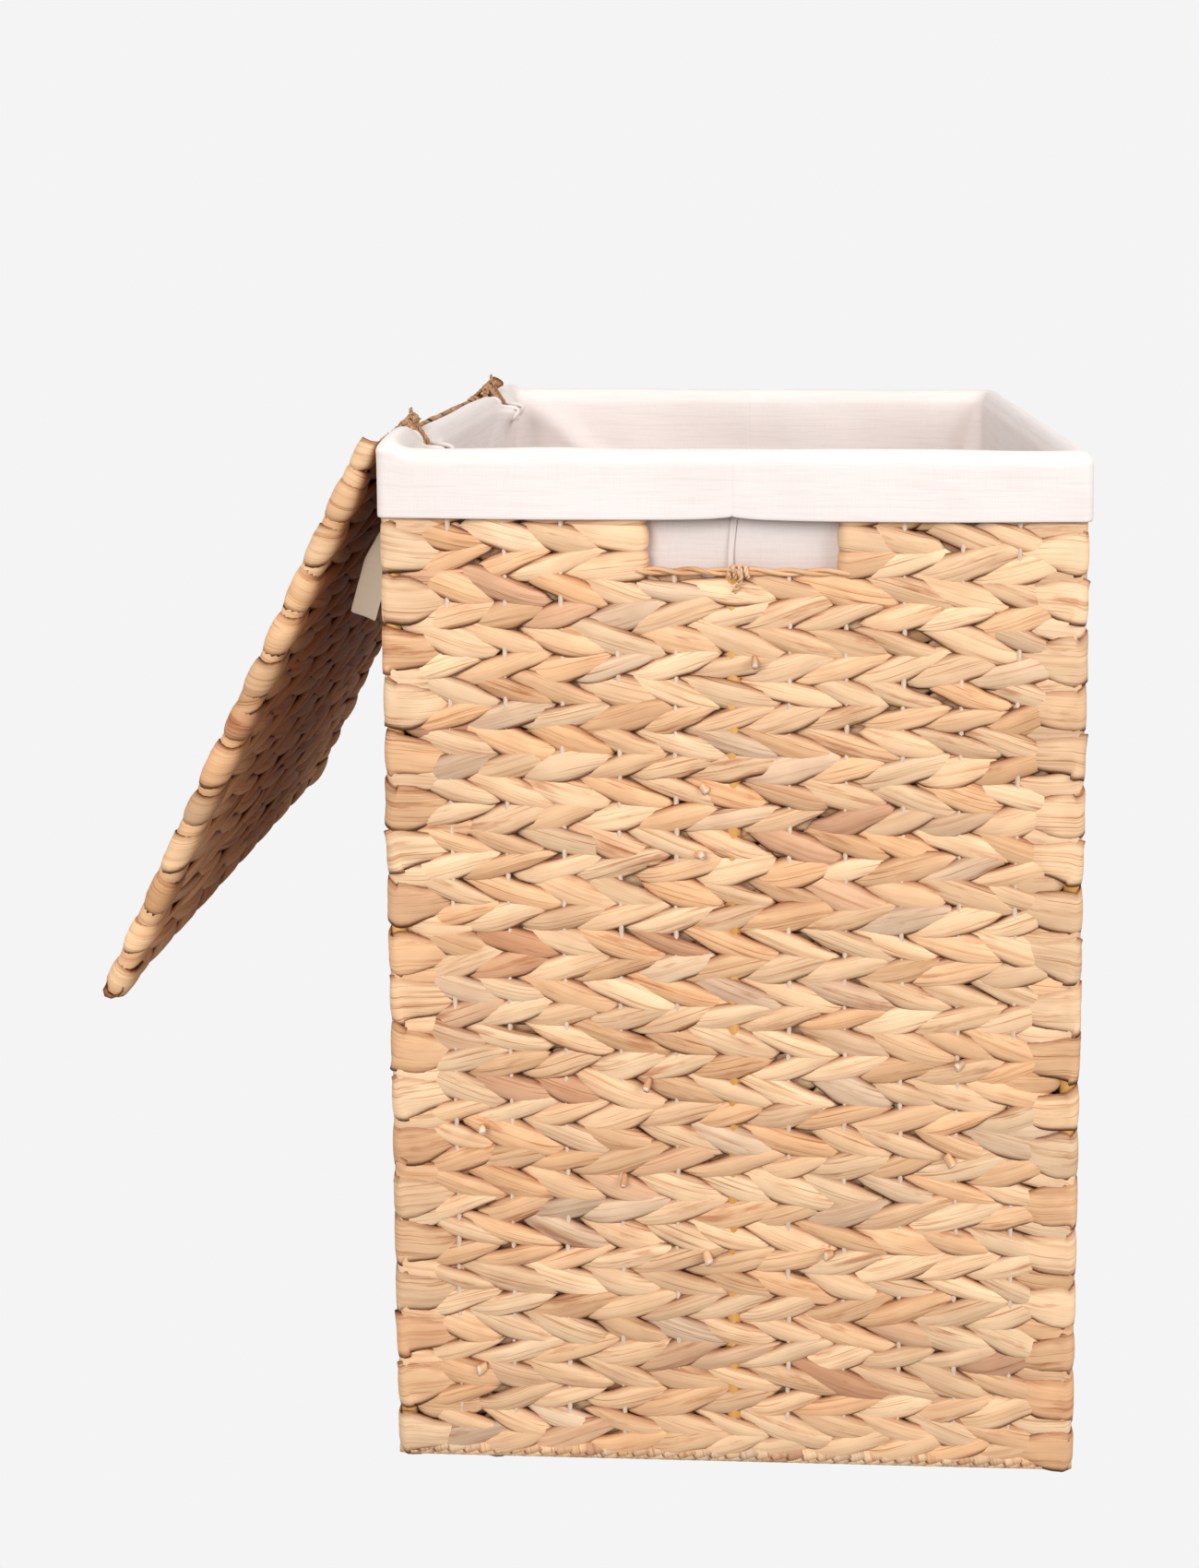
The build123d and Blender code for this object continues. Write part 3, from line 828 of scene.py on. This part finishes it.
def ties(material):
    """Each tie: loops round the rim rod and round the lid's rod, and a knot just under the hinge line."""
    for face, y in (("front", -TIE_Y), ("rear", TIE_Y)):
        rim = np.array((-POST_X, y, RIM_Z))
        hinge = np.array((HINGE_X, y, HINGE_Z))
        knot = hinge + np.array((-2.5, 0, -6.5)) * MM
        rod = on_lid(7.5 * MM, y)
        loops, lashing, lid_loop = Strands(), Strands(), Strands()
        for side in (-1, 1):
            aside = Y_AXIS * side * 4.2 * MM
            twine(loops, belt(rim + aside, knot + aside, 5.2 * MM, 1.8 * MM, 5 * MM, 2.6), 1.3 * MM)
        loops.finish(f"tie_{face}_rim_twine", material, "basket", "twine", [f"tie_rim_loops_{face}"])
        twine(lashing, [knot + Y_AXIS * a * MM for a in (-8, -3, 3, 8)], 2.4 * MM)
        twine(lashing, coil(knot, Y_AXIS, 2.9 * MM, 15 * MM, 5.5, 0.4), 1.3 * MM)
        loose_end = np.array(((0, -6, 1), (1, -4, 4), (2.4, -3, 7), (2, -2, 10))) * MM
        twine(lashing, [knot + place for place in loose_end], 1.3 * MM)
        lashing.finish(f"tie_{face}_lashing", material, "basket", "twine", [f"tie_knot_{face}"])
        twine(lid_loop, belt(rod, hinge - Z_AXIS * 4 * MM, 3.6 * MM, 2.2 * MM, 11 * MM, 4.4), 1.3 * MM)
        twine(lid_loop, coil(rod, Y_AXIS, 3.8 * MM, 20 * MM, 6, 0.3), 1.3 * MM)
        lid_loop.finish(f"tie_{face}_lid_twine", material, "lid", "twine", [f"tie_lid_loop_{face}"])


# ---- cotton liner

def wave(x, y, z=0.0):
    """Smooth noise between about -1 and 1."""
    return noise.noise(Vector((x, y, z)))


def hump(distance, width):
    """One at zero distance, falling to nothing past the width."""
    return math.exp(-(distance / width) ** 2)


def liner_stations():
    """The liner's section from the hem up, over the rim and down inside: offset, height, corner radius."""
    stations = [(7.0, z, 6.0) for z in np.linspace(HEM_Z / MM, 599, CUFF_STATIONS)]
    for a in np.linspace(0.1, math.pi - 0.1, FOLD_STATIONS):
        stations.append((0.25 + 6.75 * math.cos(a), 600 + 6.1 * math.sin(a), 6.5 - 1.5 * math.cos(a)))
    for z in np.concatenate((np.linspace(598, 560, 12), np.linspace(550, 30, 34), (20, 15))):
        deep = min(1, (600 - z) / 80)
        stations.append((-6.6 - 1.2 * deep, z, 8 + 18 * deep))
    return [(n * MM, z * MM, r * MM) for n, z, r in stations]


def half_outline(sign, offset, radius):
    """Half a rounded rectangle, from the front seam round one end to the rear seam: points, directions."""
    half_x, half_y = POST_X + offset, POST_Y + offset
    bend_x, bend_y = half_x - radius, half_y - radius
    stops = [-bend_y]
    for tie in (-TIE_Y, TIE_Y):
        stops += [tie - NOTCH / 2, tie + NOTCH / 2]
    stops.append(bend_y)
    found = []

    def straight(places, direction):
        found.extend((place, direction) for place in places)

    def bend(side_y, low, high):
        for a in np.linspace(low, high, 9, endpoint=False):
            cos, sin = math.cos(a), math.sin(a)
            found.append(((bend_x + radius * cos, side_y * bend_y + radius * sin), (cos, sin)))

    straight([(x, -half_y) for x in np.linspace(-SEAM_LAP, bend_x, 41, endpoint=False)], (0, -1))
    bend(-1, -math.pi / 2, 0)
    for low, high, count in zip(stops, stops[1:], (7, 8, 30, 8, 7)):
        straight([(half_x, y) for y in np.linspace(low, high, count, endpoint=False)], (1, 0))
    bend(1, 0, math.pi / 2)
    straight([(x, half_y) for x in np.linspace(bend_x, -SEAM_LAP, 42)], (0, 1))
    return [((x * sign, y), (fx * sign, fy)) for (x, y), (fx, fy) in found]


def lift_by_lid(x, y):
    """How far, in mm, the lid's twine and rod lift the liner's fold at its left end."""
    if x >= -0.186:
        return 0.0
    high = 2.5 + 6.5 * hump(y + 0.122, 24 * MM) + 2.0 * hump(y - 0.125, 24 * MM)
    return high * min(1, (-0.186 - x) / 0.006)


def cuff_shift(x, y, z, station, seam):
    """How far, in mm, the cuff stands out from its plain section, and how far up."""
    hanging = 1 - station / CUFF_STATIONS
    snug = 0.35 if x < -0.19 else 1.0
    flare = 0.9 * hanging * (0.6 + wave(x * 9, y * 9, 4))
    out = snug * (0.35 + 0.45 * wave(x * 26, y * 26, z * 30) + flare)
    up = hanging * (1.1 * wave(x * 8, y * 8, 7) + 2.0 * math.exp(-abs(x) / (11 * MM)))
    return max(out - 0.4 * seam, -0.6), up + lift_by_lid(x, y) * (station / CUFF_STATIONS) ** 2


def inside_shift(x, y, z, seam):
    """How far, in mm, the bag's wall stands out from its plain section, and how far up.

    It hangs in folds, with set ones at the left end and on the rear wall, bulges into the hand holes, and is
    pulled inwards beside the slits for the ties.
    """
    sunk = 0.600 - z
    deep = min(1.0, sunk / 0.05)
    fold = 4.2 * deep * wave(x * 17, y * 17, z * 2.5) + 1.6 * deep * wave(x * 45, y * 45, z * 6)
    if x < LEFT_END:
        fold += sum(3.2 * deep * hump(y - 0.088 - lean * sunk, 8 * MM) for lean in (-0.35, -0.85, -1.5))
    if y > 0.12:
        for high, place, lean, wide in ((5.5, -0.176, 1.1, 12), (3, -0.150, 0.2, 9), (3.5, 0.168, -0.25, 10)):
            fold += high * deep * hump(x - place - lean * sunk, wide * MM)
    hole = hump(x - 0.006, 48 * MM) * hump(z - 0.552, 24 * MM) * (abs(y) > 0.12)
    lip = 15 * hump(abs(y) - TIE_Y, 15 * MM) * hump(z - 0.601, 13 * MM) * (x < LEFT_END)
    crease = (1.2 if y > 0 else 0.3) * seam * deep
    out = -max(0, 1.5 + fold) * (1 - hole) + 3.2 * hole - crease - lip
    return out, 0.15 * lip + lift_by_lid(x, y) * hump(z - 0.600, 14 * MM)


def cloth_shift(x, y, z, station):
    """How far, in mm, a point of the liner stands out from the plain section, and how far up."""
    seam = hump(x, 4 * MM)
    if station < CUFF_STATIONS:
        return cuff_shift(x, y, z, station, seam)
    if station <= LAST_FOLD:
        return 0.5 * wave(x * 22, y * 22, 2) - 0.3 * seam, 0.9 * wave(x * 15, y * 15, 9) + lift_by_lid(x, y)
    return inside_shift(x, y, z, seam)


def grid_faces(rows, columns):
    """The four corners of each face of a grid of points, with its row and column."""
    for j in range(rows - 1):
        for i in range(columns - 1):
            a = j * columns + i
            yield j, i, (a, a + 1, a + columns + 1, a + columns)


def cloth_piece(name, points, faces, places, material, node, thickness):
    """A sheet of cloth on the basket, given its thickness; places are its coordinates along the cloth."""
    mesh = bpy.data.meshes.new(name)
    mesh.from_pydata(points, [], faces)
    store(mesh, "own_place", "FLOAT_VECTOR", "vector", places)
    mesh.materials.append(material)
    piece = placed(name, mesh, "basket", [node])
    thicken(piece, thickness)
    return piece


def liner_half(side, sign, material):
    """One half of the bag and its cuff, and its grid of points; the left half has a slit at each lid tie."""
    stations = liner_stations()
    grid, along = [], []
    height_run = 0.0
    for j, (offset, z, radius) in enumerate(stations):
        outline = half_outline(sign, offset, radius)
        row, run = [], 0.0
        before = None
        for (x, y), (fx, fy) in outline:
            out, up = cloth_shift(x, y, z, j)
            point = np.array((x + fx * out * MM, y + fy * out * MM, z + up * MM))
            if sign < 0 and x < -0.18 and SLIT_START - 1 <= j <= SLIT_END:
                gap = max(abs(abs(y) - TIE_Y) - NOTCH / 2, 0)
                point[2] -= 3.0 * MM * hump(gap, 9 * MM) * min(1, (j - 8) / 4)
            row.append(point)
            if before is not None:
                run += math.dist(before, (x, y))
            before = (x, y)
            along.append((run, height_run, sign * 3.0))
        grid.append(row)
        if j + 1 < len(stations):
            height_run += math.dist(stations[j][:2], stations[j + 1][:2])
    grid = np.array(grid)
    rows, columns = grid.shape[:2]

    def in_slit(j, i):
        """True for the faces that the slits cut away."""
        middle = (grid[j, i] + grid[j + 1, i + 1]) / 2
        return (sign < 0 and middle[0] < LEFT_END and abs(abs(middle[1]) - TIE_Y) < NOTCH / 2
                and SLIT_START <= j < SLIT_END)

    faces = [face for j, i, face in grid_faces(rows, columns) if not in_slit(j, i)]
    if sign < 0:
        faces = [face[::-1] for face in faces]
    piece = cloth_piece(f"liner_{side}", grid.reshape(-1, 3), faces, along, material,
                        f"liner_half_{side}", 0.9 * MM)
    return piece, grid


def thicken(piece, thickness):
    """Drops loose points, gives a sheet its thickness, smooths it and applies both."""
    work = bmesh.new()
    work.from_mesh(piece.data)
    bmesh.ops.delete(work, geom=[v for v in work.verts if not v.link_faces], context="VERTS")
    work.to_mesh(piece.data)
    work.free()
    solid = piece.modifiers.new("thickness", "SOLIDIFY")
    solid.thickness = thickness
    solid.offset = 0
    solid.use_even_offset = False
    smooth = piece.modifiers.new("smooth", "SUBSURF")
    smooth.levels = smooth.render_levels = 1
    graph = bpy.context.evaluated_depsgraph_get()
    done = bpy.data.meshes.new_from_object(piece.evaluated_get(graph))
    piece.modifiers.clear()
    piece.data = done
    done.shade_smooth()


def slit_edges(grid, material):
    """The rolled edge of each slit, as a closed loop round it."""
    beads = Strands()
    row = grid[LAST_FOLD + 7]
    for side in (-1, 1):
        own = [i for i, (x, y, _) in enumerate(row)
               if x < LEFT_END and side * y > 0 and abs(abs(y) - TIE_Y) <= NOTCH / 2 + 0.1 * MM]
        first, last = own[0], own[-1]
        low, high = SLIT_START, SLIT_END
        loop = [grid[j, first] for j in range(low, high + 1)]
        loop += [grid[high, i] for i in own[1:]]
        loop += [grid[j, last] for j in range(high - 1, low - 1, -1)]
        loop += [grid[low, i] for i in own[::-1][1:]]
        path = curve_through(loop[::2] + [loop[0]], 1.2 * MM)
        _, face = carried_sides(path)
        thick = 1.6 * MM * (1 + 0.15 * np.sin(np.arange(len(path)) * 0.7))
        beads.band(path, face, thick, thick, thick, PALE_TONE, ROUND)
    return beads.finish("slit_edges", material, "basket", "cotton")


def seam_strips(material):
    """The raw seam allowance down the outside of the bag, seen through the hand holes."""
    strips = Strands()
    for side in (-1, 1):
        z = np.linspace(0.594, 0.03, 120)
        path = np.stack((1.2 * MM * np.sin(z * 90), np.full_like(z, side * 0.1372), z), axis=1)
        hole = np.exp(-((z - 0.552) / 0.024) ** 2)
        path[:, 1] += side * (3.4 * hole) * MM
        half = (2.1 + 0.6 * np.sin(z * 700) * np.sin(z * 1900)) * MM
        strips.band(path, Y_AXIS * side, half, 0.5 * MM, 0.4 * MM, PALE_TONE)
    return strips.finish("seam_strips", material, "basket", "cotton")


def flat_sheet(name, rows, columns, where, material, node, thickness):
    """A thin sheet on a grid; where(u, v) gives a point's place in space and along the cloth."""
    found = [where(i / (columns - 1), j / (rows - 1)) for j in range(rows) for i in range(columns)]
    points, places = zip(*found)
    faces = [face for _, _, face in grid_faces(rows, columns)]
    return cloth_piece(name, points, faces, places, material, node, thickness)


def liner_floor(material):
    """The bag's floor, lying on the base mat."""
    width, depth = 0.372, 0.272

    def where(u, v):
        x, y = (u - 0.5) * width, (v - 0.5) * depth
        corner = max(0, abs(u - 0.5) - 0.44) * max(0, abs(v - 0.5) - 0.42) * 90
        x, y = x * (1 - corner * 0.05), y * (1 - corner * 0.06)
        return (x, y, 0.0153 + 0.0012 * wave(x * 14, y * 14, 3)), (x, y, 9)

    return flat_sheet("liner_bottom", 40, 54, where, material, "liner_floor", 0.9 * MM)


def label(material):
    """The blank cloth label that hangs from under the cuff at the left end."""
    width, length = 0.028, 0.070

    def where(u, v):
        curve = v ** 1.15
        turn = math.radians(50) * min(1.0, 2 * v)
        y = -0.130 + (u - 0.5) * width * math.cos(turn)
        x = -0.2008 - 0.0165 * curve - (u - 0.5) * width * math.sin(turn) + 0.0015 * math.sin(u * 3.1) * v
        return (x, y + 0.001 * wave(v * 3, u, 1), 0.5685 - 0.0645 * v), (u * width, v * length, 5)

    return flat_sheet("label_ribbon", 22, 9, where, material, "care_label", 0.5 * MM)


# ---- build

make_camera()
make_world()
make_area("key", (-0.9, -2.4, 1.7), (0, 0, 0.3), 1.2, 43)
make_area("fill", (2.0, -1.5, 1.7), (0, 0, 0.5), 1.6, 36)

hyacinth = strand_material("hyacinth_strand")
# the lid's strands, with painted shade from an ambient occlusion tint
lid_painted_shade_hyacinth = strand_material("lid_hyacinth_strand", painted_shade=PAINTED_LID_SHADE)
twine_fibre = strand_material("jute_twine", 0.85)
cotton = cloth_material("cotton_cloth", srgb(242, 232, 228), srgb(238, 227, 222), inner=INSIDE_PAINTED_SHADE)
ribbon = cloth_material("label_cloth", srgb(200, 180, 158), srgb(190, 169, 147), 0.5)
cane = solid_material("cane", srgb(232, 178, 104), srgb(202, 144, 74), (60, 60, 8))
bound_rod = solid_material("bound_rod", srgb(226, 186, 142), srgb(190, 146, 104), (60, 60, 60))
cord_fibre = solid_material("warp_cord", srgb(236, 214, 192), srgb(206, 180, 154), (700, 700, 120), 0.85, 0.5)
slat_wood = solid_material("slat_wood", srgb(220, 186, 140), srgb(190, 150, 104), (12, 90, 90))

long_face("front", 1, hyacinth)
long_face("rear", -1, hyacinth)
short_face("left", -1, hyacinth)
short_face("right", 1, hyacinth)
corner_wraps(hyacinth)
warp_cords(cord_fibre)
cut_stubs(hyacinth)
base_binding(hyacinth)
hole_sill("front", 1, hyacinth)
hole_sill("rear", -1, hyacinth)
base_panel(hyacinth)
lid_weave(lid_painted_shade_hyacinth)
ties(twine_fibre)

left_half, left_grid = liner_half("left", -1, cotton)
right_half, _ = liner_half("right", 1, cotton)
edges = slit_edges(left_grid, cotton)
strips = seam_strips(cotton)
floor_cloth = liner_floor(cotton)
tag = label(ribbon)

paints = {"corner_post": cane, "middle_post": cane, "rim_rod": cane, "lid_rod": cane, "base_rod": bound_rod,
          "lid_warp_cords": cord_fibre, "base_slats": slat_wood}
for node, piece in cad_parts.items():
    for start, paint in paints.items():
        if node.startswith(start):
            piece.data.materials.clear()
            piece.data.materials.append(paint)
